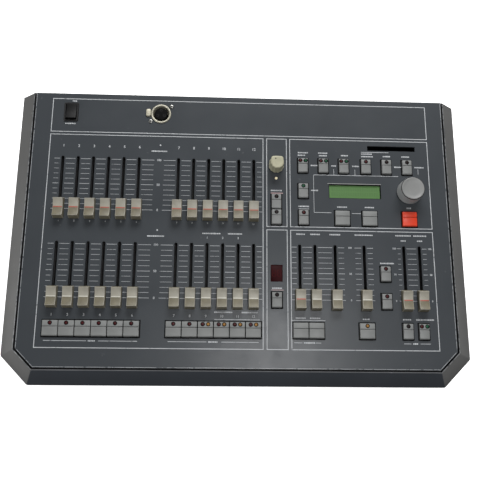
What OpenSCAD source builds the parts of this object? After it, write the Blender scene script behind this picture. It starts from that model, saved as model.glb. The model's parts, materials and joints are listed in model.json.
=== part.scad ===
// Lighting control desk: two banks of twelve channel faders, six master faders,
// keys, a display, two rotary knobs, a lamp socket and a mains switch on a sloping
// panel, which a moulded housing with bevelled edges holds.
// The origin is under the middle of the desk, on the surface that it stands on.
// +X is the operator's right, +Y runs from the operator to the back, +Z is up.

/* [Panel] */
// Width of the control panel
panel_w = 483; // [480:1:486]
// Depth of the control panel, measured along its slope
panel_d = 317.5; // [314:0.5:318]
// Slope of the control panel, in degrees
slope = 6; // [5:0.5:7]
// Height of the panel's front edge above the table
front_z = 58; // [57:1:62]
// Thickness of the panel sheet
panel_t = 2; // [1.6:0.2:2]
// Length of the cut across each front corner of the panel, along the edge
corner_cut = 20; // [18:1:22]

/* [Housing] */
// Gap between the panel and the housing's rim
groove = 2; // [1.5:0.25:2.5]
// Width of the bevel around the rim
bevel_w = 16.7; // [15:0.1:17]
// Drop of the bevel across its width
bevel_drop = 12; // [11:0.5:13]
// Wall thickness of the housing
wall = 4; // [3:0.5:4]
// Height of the rubber feet
foot_h = 6; // [5:0.5:7]

/* [Faders] */
// Distance between neighbouring channel faders
fader_pitch = 17.5; // [17.25:0.05:17.6]
// Travel of every fader
fader_travel = 60; // [58:1:60]
// Width of a fader cap
cap_w = 11.7; // [11:0.1:12]
// Length of a fader cap at its foot
cap_l = 24; // [22:0.5:24]
// Height of a fader cap's ends above the panel
cap_h = 10; // [9:0.5:11]

/* [Keys] */
// Width of a wide key
wide_key = 16.6; // [16.2:0.1:16.8]
// Width of a narrow key
narrow_key = 11; // [10.5:0.1:11.2]
// Length of every key, front to back
key_l = 17; // [16.6:0.1:17.2]
// Height of a key above the panel
key_h = 3.2; // [3:0.2:4.6]
// Travel of a key
key_travel = 1.5; // [1:0.25:1.5]

/* [Knobs] */
// Radius of the large rotary knob at its foot
dial_r = 14.5; // [13:0.5:15]
// Height of the large rotary knob's top above the panel
dial_h = 17; // [14:1:18]
// Radius of the small rotary knob
small_knob_r = 7.6; // [6.5:0.1:8]
// Height of the small rotary knob's top above the panel
small_knob_h = 16; // [13:1:17]

/* [Hidden] */
$fn = 48;
eps = 0.01;
clear = 0.3;       // gap between pieces that don't touch
run_clear = 0.05;  // radial clearance of shafts and pins that turn

// Where the panel lies: its front edge is at panel_y, and its back edge at rear_y
outer_gap = groove + bevel_w;
flange_t = 1.5;
span_front = -outer_gap * cos(slope) + bevel_drop * sin(slope);
span_rear = panel_d * cos(slope) + flange_t;
front_foot_z = front_z - outer_gap * sin(slope) - bevel_drop * cos(slope) - foot_h;
lean = front_foot_z * tan(slope);  // how far the front wall leans back on its way down
panel_y = -(span_front + span_rear) / 2;
rear_y = panel_y + panel_d * cos(slope);
rear_z = front_z + panel_d * sin(slope);
corner_grow = 2 - sqrt(2);  // how a 45 degree corner cut lengthens per unit of offset

// Levels below the panel's top, square to the panel
board_top = -14;
board_t = 1.6;
track_h = 7;
switch_h = 6.5;
bush_top = 1;
floor_top = foot_h + 2;  // upper face of the base plate

// Channel faders: the left and right halves of both banks, and the masters
left_x = -205.4;
right_x = -72.4;
preset_y = 176.4;   // cap centre at zero, upper bank
memory_y = 75.8;    // cap centre at zero, lower bank and masters
channel_x = [for (start = [left_x, right_x]) for (i = [0:5]) start + i * fader_pitch];
master_x = [67.5, 85, 108, 141.3, 187, 205];
slot_w = 3;
slot_over = 3;      // how far a slot runs past the travel at each end
track_w = 9;
track_over = 8;
lever_w = 1.2;
lever_l = 4;

// Keys, as [x, y, width] by group
flash_y = 41.8;
row_y = 233.3;
edit_y = 170.4;
column_x = 41.3;
side_x = 164.7;
key_groups = [
    ["flash_keys_1_to_6", [for (i = [0:5]) [channel_x[i], flash_y, wide_key]]],
    ["flash_keys_7_to_12", [for (i = [6:11]) [channel_x[i], flash_y, wide_key]]],
    ["column_keys", [for (y = [188.9, edit_y, 75.2]) [column_x, y, narrow_key]]],
    ["mode_keys", [for (x = [72.6, 96.6, 120.6, 146.8, 171.2, 195.5]) [x, row_y, narrow_key]]],
    ["display_keys", [[72.6, 202.4, narrow_key], [72.6, edit_y, narrow_key],
                      [117.4, edit_y, wide_key], [149.1, edit_y, wide_key]]],
    ["record_key", [[195.4, edit_y, wide_key]]],
    ["fade_keys", [for (y = [106, 74.8]) [side_x, y, narrow_key]]],
    ["bump_keys", [for (i = [0, 1, 3]) [master_x[i], flash_y, wide_key]]],
    ["go_keys", [for (i = [4, 5]) [master_x[i], flash_y, narrow_key]]]
];
all_keys = [for (group = key_groups) for (key = group[1]) key];
key_gap = 0.8;
key_foot = 3.5;     // how far a key reaches below the panel's top
stem_w = 4;
stem_gap = 0.3;
well_floor = 1.5;   // floor of a switch body under its stem well

// Displays, knobs, sockets and switch on the panel: centres and sizes
lcd_at = [133.1, 203];
lcd_size = [61, 17];
lcd_case = [84, 34];
digit_at = [column_x, 105.6];
digit_size = [13.4, 19.2];
dial_at = [196.6, 203.2];
small_knob_at = [column_x, 232];
lamp_led_at = [column_x, 217.4];
rocker_at = [-199.6, 294];
rocker_hole = [12.4, 20.2];
rocker_case = [14.2, 21.8];
rocker_rim = [16.8, 23.4];
rocker_tilt = 8;
rocker_pivot = -2;  // height of the rocker's pivot
card_at = [178.2, 256.8];
card_slot = [57, 6];
card_depth = 12;
lamp_at = [-94.6, 294.2];
socket_r = 11.7;
socket_bore = 9.6;
socket_core = 7.6;
socket_depth = 15;
socket_screws = [12, 9.5];
latch_at = [-109.4, 295.2];
latch_size = [5.4, 9];
shaft_r = 3;
bush_r = 3.6;

// Spacers under the panel, which the circuit board hangs from
spacer_x = [-222, -95, 28.5, 133.5, 222];
spacer_y = [30, 156, 244];
spacer_r = 3;
screw_r = 1.5;
screw_hole = 1.6;
board_size = [454, 222];
board_y = 26;

// Rear wall and base
socket_x = [120, 160];
rear_socket_z = 48;
inlet_at = [-199, 44];
inlet_well = [24.4, 16.6, 16];
inlet_case = [27.4, 20.2, 24];
inlet_rim = [48, 24];
post_r = 6;
post_top = 46;
post_x = panel_w / 2 + outer_gap - wall - 5.4;
post_y = [-115, 5, 110];
front_post_x = 90;
post_front_y = panel_y + span_front + lean + wall + 5.4;
posts = concat([for (s = [-1, 1]) for (y = post_y) [s * post_x, y]],
               [for (s = [-1, 1]) [s * front_post_x, post_front_y]]);
foot_at = [205, 120];
foot_r = 10;
transformer_at = [-150, 88];

preset_names = [for (i = [1:12]) str("preset_fader_", i)];
memory_names = [for (i = [1:12]) str("memory_fader_", i)];
master_names = [for (i = [1:6]) str("master_fader_", i)];

// Puts its children in the panel's own frame: Y along the slope, Z square to the panel
module on_panel() {
    translate([0, panel_y, front_z]) rotate([slope, 0, 0]) children();
}

// A box centred on X and Y, standing between two levels
module block(at, size, low, high) {
    translate([at[0] - size[0] / 2, at[1] - size[1] / 2, low]) cube([size[0], size[1], high - low]);
}

module rod(at, r, low, high) {
    translate([at[0], at[1], low]) cylinder(r = r, h = high - low);
}

// The panel's outline, grown by off, with its cut front corners, up to rear
module panel_outline(off, rear) {
    side = panel_w / 2 + off;
    cut = corner_cut + off * corner_grow;
    polygon([[-side, cut - off], [-side + cut, -off], [side - cut, -off], [side, cut - off],
             [side, rear], [-side, rear]]);
}

// Everything below a bevel plane that starts at the rim in the direction turn
module below_bevel(turn, edge) {
    reach = 700;
    rotate([0, 0, turn]) translate([edge + groove, 0, 0])
        rotate([0, atan(bevel_drop / bevel_w), 0]) translate([-reach, -reach, -reach])
            cube([reach + 100, 2 * reach, reach]);
}

// Plan of the desk's floor, shrunk by inset
module floor_plan(inset) {
    side = panel_w / 2 + outer_gap - inset;
    cut = corner_cut + (outer_gap - inset) * corner_grow;
    front = panel_y + span_front + lean + inset;
    back = rear_y - inset;
    polygon([[-side, front + cut], [-side + cut, front], [side - cut, front],
             [side, front + cut], [side, back], [-side, back]]);
}

// Moulded surround: walls square to the panel, a bevel, a rim, and a ledge that the panel
// lies on, cut off upright at the back with rounded corners
module housing() {
    ledge_w = 6;
    ledge_t = 4;
    corner_r = 6;
    corner_edge = (panel_w / 2 - corner_cut) / sqrt(2);
    side = panel_w / 2 + outer_gap;
    color("dimgray") difference() {
        union() {
            difference() {
                intersection() {
                    translate([0, 0, foot_h]) linear_extrude(120) {
                        translate([-side, -300]) square([2 * side, 300 + rear_y - corner_r]);
                        translate([-side + corner_r, -300])
                            square([2 * (side - corner_r), 300 + rear_y]);
                        for (s = [-1, 1]) translate([s * (side - corner_r), rear_y - corner_r])
                            circle(r = corner_r);
                    }
                    on_panel() intersection() {
                        translate([0, 0, -200]) linear_extrude(200)
                            panel_outline(outer_gap, panel_d + 50);
                        below_bevel(0, panel_w / 2);
                        below_bevel(180, panel_w / 2);
                        below_bevel(270, 0);
                        below_bevel(225, corner_edge);
                        below_bevel(315, corner_edge);
                    }
                }
                on_panel() translate([0, 0, -panel_t]) linear_extrude(50)
                    panel_outline(groove, panel_d + 50);
                on_panel() translate([0, 0, -150]) linear_extrude(200)
                    panel_outline(-ledge_w, panel_d + 50);
                intersection() {
                    translate([-400, -400, -1]) cube([800, 400 + rear_y - wall, 150]);
                    on_panel() translate([0, 0, -250])
                        linear_extrude(250 - ledge_t - bevel_drop)
                            panel_outline(outer_gap - wall, panel_d + 50);
                }
            }
            for (p = posts) rod(p, post_r, floor_top, post_top);
        }
        for (p = posts) rod(p, screw_hole, foot_h - 1, floor_top + 14);
        translate([-panel_w / 2 - 0.1, rear_y - panel_t, 0]) cube([panel_w + 0.2, 20, 150]);
        translate([-panel_w / 2 + 12, rear_y - 30, -1]) cube([panel_w - 24, 60, 150]);
    }
}

// Sheet steel floor with vents, screwed up into the housing's posts
module base_plate() {
    vent_pitch = 12;
    color("gray") difference() {
        translate([0, 0, foot_h]) linear_extrude(floor_top - foot_h) {
            floor_plan(wall + clear);
            translate([-panel_w / 2 + 12 + clear, rear_y - 20])
                square([panel_w - 24 - 2 * clear, 20]);
        }
        for (p = posts) rod(p, screw_hole, foot_h - 1, floor_top + 1);
        for (s = [-1, 1]) for (i = [0:9])
            block([s * 120 + (i - 4.5) * vent_pitch, 40], [3, 36], foot_h - 1, floor_top + 1);
    }
}

module rubber_feet() {
    color("black") for (sx = [-1, 1]) for (sy = [-1, 1])
        rod([sx * foot_at[0], sy * foot_at[1]], foot_r, 0, foot_h);
}

module key_openings() {
    for (k = all_keys)
        block(k, [k[2] + 2 * key_gap, key_l + 2 * key_gap], -panel_t - 1, 1);
}

module fader_slots() {
    slot = [slot_w, fader_travel + 2 * slot_over];
    for (y = [preset_y, memory_y]) for (x = channel_x)
        block([x, y + fader_travel / 2], slot, -panel_t - 1, 1);
    for (x = master_x)
        block([x, memory_y + fader_travel / 2], slot, -panel_t - 1, 1);
}

// Hole of a chassis socket seen from its front: the shell and two screws on a diagonal
module socket_holes(low, high) {
    rod([0, 0], socket_r + 0.2, low, high);
    for (s = [-1, 1]) rod([s * socket_screws[0], s * socket_screws[1]], screw_hole, low, high);
}

// Sloping sheet with every slot and window
module front_panel() {
    low = -panel_t - 1;
    color("slategray") difference() {
        intersection() {
            on_panel() translate([0, 0, -panel_t]) linear_extrude(panel_t)
                panel_outline(0, panel_d + 10);
            translate([-400, -400, 0]) cube([800, 400 + rear_y, 200]);
        }
        on_panel() {
            fader_slots();
            key_openings();
            block(lcd_at, lcd_size, low, 1);
            block(digit_at, digit_size + [0.2, 0.2], low, 1);
            block(card_at, card_slot, low, 1);
            block(rocker_at, rocker_case + [0.2, 0.2], low, 1);
            block(latch_at, latch_size + [0.6, 0.6], low, 1);
            translate(lamp_at) socket_holes(low, 1);
            for (p = [dial_at, small_knob_at]) rod(p, bush_r + 0.1, low, 1);
            rod(lamp_led_at, 1.6, low, 1);
        }
    }
}

// Upright sheet under the panel's back edge, with the cut-outs for the rear sockets
module rear_wall() {
    color("slategray") difference() {
        intersection() {
            translate([-panel_w / 2 + 0.5, rear_y - panel_t, floor_top])
                cube([panel_w - 1, panel_t, rear_z]);
            on_panel() translate([-400, -100, -200]) cube([800, 600, 200 - panel_t - clear]);
        }
        for (x = socket_x) translate([x, rear_y, rear_socket_z]) rotate([90, 0, 0])
            socket_holes(-1, panel_t + 1);
        translate([inlet_at[0], rear_y, inlet_at[1]]) rotate([90, 0, 0])
            block([0, 0], [inlet_case[0] + 0.2, inlet_case[1] + 0.2], -1, panel_t + 1);
    }
}

module screw(length, head_r, head_h) {
    cylinder(r = head_r, h = head_h);
    translate([0, 0, -length]) cylinder(r = screw_r, h = length + eps);
}

// Base screws, the lamp socket's two screws, and the circuit board's screws and spacers
module screws() {
    color("silver") {
        for (p = posts) translate([p[0], p[1], foot_h]) rotate([180, 0, 0]) screw(14, 3, 2);
        on_panel() {
            for (x = spacer_x) for (y = spacer_y) {
                translate([x, y, board_top - board_t]) rotate([180, 0, 0]) screw(7, 2.8, 1.6);
                difference() {
                    rod([x, y], spacer_r, board_top, -panel_t);
                    rod([x, y], screw_hole, board_top - 1, 0);
                }
            }
            for (s = [-1, 1])
                translate([lamp_at[0] + s * socket_screws[0], lamp_at[1] + s * socket_screws[1], 0])
                    screw(6, 2.4, 1);
        }
    }
}

module circuit_board() {
    color("darkgreen") on_panel() difference() {
        block([0, board_y + board_size[1] / 2], board_size, board_top - board_t, board_top);
        for (x = spacer_x) for (y = spacer_y)
            rod([x, y], screw_hole, board_top - board_t - 1, board_top + 1);
    }
}

// The thirty long bodies under the slots, each with a groove that its lever runs in
module fader_tracks() {
    size = [track_w, fader_travel + 2 * track_over];
    groove_size = [slot_w, fader_travel + 2 * slot_over];
    places = concat([for (y = [preset_y, memory_y]) for (x = channel_x) [x, y]],
                    [for (x = master_x) [x, memory_y]]);
    color("lightgray") on_panel() for (p = places) difference() {
        block(p + [0, fader_travel / 2], size, board_top, board_top + track_h);
        block(p + [0, fader_travel / 2], groove_size, board_top + 2, board_top + track_h + 1);
    }
}

// The switch body under each key, with a well that the key's stem slides in, and the
// rotary body under each knob, with a bush that its shaft turns in
module control_bodies() {
    well = [stem_w + 2 * stem_gap, stem_w + 2 * stem_gap];
    color("black") on_panel() {
        for (k = all_keys) difference() {
            block(k, [k[2] - 0.6, key_l - 1], board_top, board_top + switch_h);
            block(k, well, board_top + well_floor, board_top + switch_h + 1);
        }
        for (p = [dial_at, small_knob_at]) difference() {
            union() {
                block(p, [14, 14], board_top, board_top + switch_h);
                rod(p, bush_r, board_top + 1, bush_top);
            }
            rod(p, shaft_r + run_clear, board_top + 4, bush_top + 1);
        }
    }
}

// A group of keys: a flat rear strip, a seam, and a finger face that falls to the front
module key_group(keys) {
    back = key_l / 2;
    seam = back - 6.6;
    seam_d = 0.4;
    on_panel() for (k = keys) {
        translate([k[0] - k[2] / 2, k[1], 0]) rotate([90, 0, 90]) linear_extrude(k[2])
            polygon([[-back, -key_foot], [back, -key_foot], [back, key_h], [seam + seam_d, key_h],
                     [seam, key_h - seam_d], [seam - seam_d, key_h], [-back + 1, key_h - 0.8],
                     [-back, key_h - 1.8]]);
        block(k, [stem_w, stem_w], board_top + well_floor + key_travel + 0.5, -key_foot + eps);
    }
}

// A fader: a saddle-shaped cap that is hollow for the lever, and the metal lever in it
module fader(x, y) {
    foot = 1.2;
    top_l = cap_l - 3.8;
    dip = 2.2;          // how far the finger saddle falls below the cap's ends
    saddle_r = (dip * dip + top_l * top_l / 4) / (2 * dip);
    fit_gap = 0.1;
    on_panel() translate([x, y, 0]) {
        color("antiquewhite") difference() {
            translate([-cap_w / 2, 0, 0]) rotate([90, 0, 90]) linear_extrude(cap_w)
                polygon([[-cap_l / 2, foot], [cap_l / 2, foot], [cap_l / 2, foot + 2],
                         [top_l / 2, cap_h], [-top_l / 2, cap_h], [-cap_l / 2, foot + 2]]);
            translate([-cap_w, 0, cap_h - dip + saddle_r]) rotate([0, 90, 0])
                cylinder(r = saddle_r, h = 2 * cap_w, $fn = 96);
            block([0, 0], [lever_w + 2 * fit_gap, lever_l + 2 * fit_gap], foot - 1, 5.1);
        }
        color("silver") block([0, 0], [lever_w, lever_l], board_top + 2.6, 5);
    }
}

// A knob with a bore for its shaft, a finger notch or pointer line, and the shaft
module knob(at, r_foot, r_top, high) {
    low = bush_top + 0.6;
    on_panel() translate(at) {
        difference() {
            translate([0, 0, low]) cylinder(r1 = r_foot, r2 = r_top, h = high - low);
            rod([0, 0], shaft_r + run_clear, low - 1, high - 4);
            block([0, r_top - 2], [1, 3], high - 0.5, high + 1);
        }
        rod([0, 0], shaft_r, board_top + 4.5, high - 4.2);
    }
}

module encoder_knob() {
    color("gray") knob(dial_at, dial_r, dial_r - 1, dial_h);
}

module speed_knob() {
    color("beige") knob(small_knob_at, small_knob_r, small_knob_r - 0.4, small_knob_h);
}

// Display case under the panel, with its screen raised into the window
module lcd_module() {
    color("yellowgreen") on_panel() {
        block(lcd_at, lcd_case, board_top, -panel_t - 0.2);
        block(lcd_at, lcd_size - [0.6, 0.6], -panel_t - 1, -0.8);
    }
}

module digit_display() {
    color("darkred") on_panel() block(digit_at, digit_size, board_top, -0.5);
}

// A chassis socket facing +Z: flange, shell with an annular gap, core with contact holes
module socket(flange, shell_top, contacts) {
    bottom = shell_top - socket_depth - 6;
    difference() {
        union() {
            block([0, 0], [31, 26], flange[0], flange[1]);
            rod([0, 0], socket_r, bottom, shell_top);
        }
        difference() {
            rod([0, 0], socket_bore, shell_top - socket_depth, shell_top + 1);
            rod([0, 0], socket_core, shell_top - socket_depth - 1, shell_top - 1);
        }
        for (i = [0:contacts - 1]) rotate([0, 0, i * 360 / contacts + 90])
            rod([4.4, 0], 1.2, shell_top - 12, shell_top);
        for (s = [-1, 1])
            rod([s * socket_screws[0], s * socket_screws[1]], screw_hole, -30, 5);
    }
}

// Socket for the gooseneck lamp, fixed from under the panel
module lamp_socket() {
    color("silver") on_panel() difference() {
        translate(lamp_at) socket([-panel_t - 2, -panel_t], 1.5, 3);
        block(latch_at, latch_size + [0.6, 0.6], -10, 3);
    }
}

// Release tab beside the lamp socket, pressed down to free the lamp's plug
module socket_latch() {
    color("lightgray") on_panel() block(latch_at, latch_size, -6, 2.2);
}

module rocker_frame() {
    floor_z = -16;
    color("black") on_panel() difference() {
        union() {
            block(rocker_at, rocker_rim, 0, 1.2);
            block(rocker_at, rocker_case, floor_z, eps);
        }
        block(rocker_at, rocker_hole, floor_z + 2, 5);
        translate([rocker_at[0] - 10, rocker_at[1], rocker_pivot]) rotate([0, 90, 0])
            cylinder(r = 1.2 + run_clear, h = 20);
    }
}

// Two-position rocker on a cross pin, shown with its rear end down
module power_rocker() {
    rocker_w = 11.8;
    color("black") on_panel() translate([rocker_at[0], rocker_at[1], rocker_pivot])
        rotate([-rocker_tilt, 0, 0]) {
            translate([-rocker_w / 2, 0, 0]) rotate([90, 0, 90]) linear_extrude(rocker_w)
                polygon([[-9.2, 4.4], [0, 3.2], [9.2, 4.4], [9.2, 1.6], [3, -3.5], [-3, -3.5],
                         [-9.2, 1.6]]);
            translate([-6.8, 0, 0]) rotate([0, 90, 0]) cylinder(r = 1.2, h = 13.6);
        }
}

// Slot for a memory card, under the panel
module card_reader() {
    color("black") on_panel() difference() {
        block(card_at, [62, 14], -panel_t - card_depth - 2, -panel_t);
        block(card_at, card_slot, -panel_t - card_depth, 1);
    }
}

// Mains inlet in the rear wall: a rimmed well with three blades, facing back
module mains_inlet() {
    blades = [[-7, -1], [7, -1], [0, 3]];
    color("black") translate([inlet_at[0], rear_y, inlet_at[1]]) rotate([90, 0, 0]) {
        difference() {
            union() {
                block([0, 0], inlet_rim, -flange_t, 0);
                block([0, 0], inlet_case, -eps, inlet_case[2]);
            }
            block([0, 0], inlet_well, -flange_t - 1, inlet_well[2] - flange_t);
        }
        for (b = blades) block(b, [2, 4], 2, inlet_well[2] - flange_t + eps);
    }
}

// Two control data outputs in the rear wall
module dmx_sockets() {
    color("silver") for (x = socket_x)
        translate([x, rear_y, rear_socket_z]) rotate([-90, 0, 0])
            socket([0, flange_t], flange_t, 5);
}

module power_transformer() {
    core = [66, 34];
    coil = [44, 54];
    height = 46;
    color("peru") {
        block(transformer_at, core, floor_top, floor_top + height);
        block(transformer_at, coil, floor_top + 8, floor_top + height - 8);
    }
}

housing();
base_plate();
front_panel();
rear_wall();
rubber_feet();
screws();
circuit_board();
fader_tracks();
control_bodies();
lcd_module();
digit_display();
lamp_socket();
socket_latch();
rocker_frame();
power_rocker();
card_reader();
encoder_knob();
speed_knob();
mains_inlet();
dmx_sockets();
power_transformer();
for (group = key_groups)
    color(group[0] == "record_key" ? "orangered" : "darkgray") key_group(group[1]);
for (i = [0:11]) {
    fader(channel_x[i], preset_y);
    fader(channel_x[i], memory_y);
}
for (i = [0:5])
    fader(master_x[i], memory_y);
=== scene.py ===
import json
import math
import random

import bmesh
import bpy
from mathutils import Matrix, Vector


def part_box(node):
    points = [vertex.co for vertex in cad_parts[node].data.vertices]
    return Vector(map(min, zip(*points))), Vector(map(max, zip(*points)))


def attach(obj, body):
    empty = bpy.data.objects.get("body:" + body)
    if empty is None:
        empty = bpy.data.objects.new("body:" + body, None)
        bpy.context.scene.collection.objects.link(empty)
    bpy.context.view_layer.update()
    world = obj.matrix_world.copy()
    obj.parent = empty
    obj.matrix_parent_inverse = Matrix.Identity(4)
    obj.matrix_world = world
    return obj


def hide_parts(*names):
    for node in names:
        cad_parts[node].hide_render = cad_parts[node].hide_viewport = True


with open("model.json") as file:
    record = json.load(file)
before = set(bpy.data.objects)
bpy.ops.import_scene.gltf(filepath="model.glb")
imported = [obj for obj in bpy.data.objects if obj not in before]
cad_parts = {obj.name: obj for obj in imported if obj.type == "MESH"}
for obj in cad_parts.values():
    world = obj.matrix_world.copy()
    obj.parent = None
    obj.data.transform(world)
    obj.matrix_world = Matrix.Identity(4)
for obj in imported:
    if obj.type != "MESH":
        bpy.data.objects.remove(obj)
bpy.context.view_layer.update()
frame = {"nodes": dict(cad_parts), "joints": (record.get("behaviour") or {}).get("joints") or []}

# Looks of the lighting control desk. Shapes are written in millimetres in the panel's own
# frame: X to the operator's right from the middle, Y up the slope from the panel's front
# edge, Z square to the panel. PANEL carries them into the CAD frame, in metres.

MM = 0.001
nodes = frame["nodes"]
random.seed(7)


# ---------------------------------------------------------------- the panel's own frame

def panel_frame():
    """Where the panel lies, its slope, and its width and rear edge in mm, from the frame."""
    slide = next(j for j in frame["joints"] if j["name"] == "preset_fader_1_slide")
    slope = math.atan2(slide["axis"][2], slide["axis"][1])
    low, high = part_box("front_panel")
    depth = (high.y - low.y) / math.cos(slope)
    front_z = high.z - depth * math.sin(slope)
    place = Matrix.Translation((0, low.y, front_z)) @ Matrix.Rotation(slope, 4, "X")
    return place, slope, (high.x - low.x) / MM, high.y / MM


PANEL_M, SLOPE, PANEL_W, REAR_Y = panel_frame()
PANEL = PANEL_M @ Matrix.Scale(MM, 4)
WORLD = Matrix.Scale(MM, 4)
HALF_W = PANEL_W / 2


def islands(node):
    """Low and high corners in the panel's frame of each separate solid in a CAD node."""
    mesh = nodes[node].data
    owner, where = {}, PANEL.inverted()
    spots = [tuple(round(c, 6) for c in v.co) for v in mesh.vertices]

    def root(spot):
        while owner.setdefault(spot, spot) != spot:
            owner[spot] = owner[owner[spot]]
            spot = owner[spot]
        return spot

    for face in mesh.polygons:
        first = root(spots[face.vertices[0]])
        for v in face.vertices[1:]:
            owner[root(spots[v])] = first
    groups = {}
    for spot in sorted(set(spots)):
        groups.setdefault(root(spot), []).append(where @ Vector(spot))
    boxes = [(Vector(map(min, *pts)), Vector(map(max, *pts))) for pts in groups.values()]
    return sorted(boxes, key=lambda b: (round(b[0].x), round(b[0].y)))


def middle(box):
    return (box[0] + box[1]) / 2


def node_box(node):
    """Low and high corners of a whole node in the panel's frame."""
    lows, highs = zip(*islands(node))
    return Vector([min(axis) for axis in zip(*lows)]), Vector([max(axis) for axis in zip(*highs)])


def widest(node):
    """Middle, radius, low and high of the widest round solid in a node."""
    low, high = max(islands(node), key=lambda b: b[1].x - b[0].x)
    return middle((low, high)), (high.x - low.x) / 2, low.z, high.z


# ---------------------------------------------------------------------------- materials

def srgb(*levels):
    """Linear colour for 0-255 screen levels."""
    return tuple(
        (c / 255 / 12.92) if c <= 10 else ((c / 255 + 0.055) / 1.055) ** 2.4 for c in levels
    )


def surface(name, colour, rough, vary=0.08, patch=40, grain=2500, bump=0.05, spread=0.08,
            worn=None, worn_at=0.72, **shader):
    """A procedural finish: patchy colour, uneven gloss, fine grain and faint wear."""
    mat = bpy.data.materials.new(name)
    mat.use_nodes = True
    tree = mat.node_tree
    bsdf = tree.nodes["Principled BSDF"]
    for socket, value in shader.items():
        bsdf.inputs[socket.replace("_", " ").title().replace("Ior", "IOR")].default_value = value

    def node(kind, **values):
        made = tree.nodes.new(kind)
        for key, value in values.items():
            if key in made.inputs:
                made.inputs[key].default_value = value
            else:
                setattr(made, key, value)
        return made

    place = node("ShaderNodeTexCoord")

    def noise(scale, detail=3.0):
        made = node("ShaderNodeTexNoise", Scale=scale, Detail=detail)
        tree.links.new(place.outputs["Object"], made.inputs["Vector"])
        return made.outputs["Fac"]

    def ramp(factor, *stops):
        made = node("ShaderNodeValToRGB")
        for element, (position, shade) in zip(made.color_ramp.elements, stops):
            element.position, element.color = position, shade
        tree.links.new(factor, made.inputs["Fac"])
        return made.outputs["Color"]

    dark = tuple(c * (1 - vary) for c in colour) + (1,)
    light = tuple(min(1, c * (1 + vary)) for c in colour) + (1,)
    base = ramp(noise(patch), (0.3, dark), (0.66, light))
    if worn:
        blend = node("ShaderNodeMix", data_type="RGBA")
        chips = ramp(noise(patch * 9, 6.0),
                     (worn_at, (0, 0, 0, 1)), (worn_at + 0.06, (1, 1, 1, 1)))
        tree.links.new(chips, blend.inputs["Factor"])
        tree.links.new(base, blend.inputs["A"])
        blend.inputs["B"].default_value = worn + (1,)
        base = blend.outputs["Result"]
    tree.links.new(base, bsdf.inputs["Base Color"])

    gloss = node("ShaderNodeMapRange")
    gloss.inputs["To Min"].default_value = max(0.02, rough - spread)
    gloss.inputs["To Max"].default_value = min(1.0, rough + spread)
    tree.links.new(noise(patch * 3, 5.0), gloss.inputs["Value"])
    tree.links.new(gloss.outputs["Result"], bsdf.inputs["Roughness"])

    relief = node("ShaderNodeBump", Strength=bump, Distance=0.0002)
    tree.links.new(noise(grain, 2.0), relief.inputs["Height"])
    tree.links.new(relief.outputs["Normal"], bsdf.inputs["Normal"])
    return mat


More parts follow.
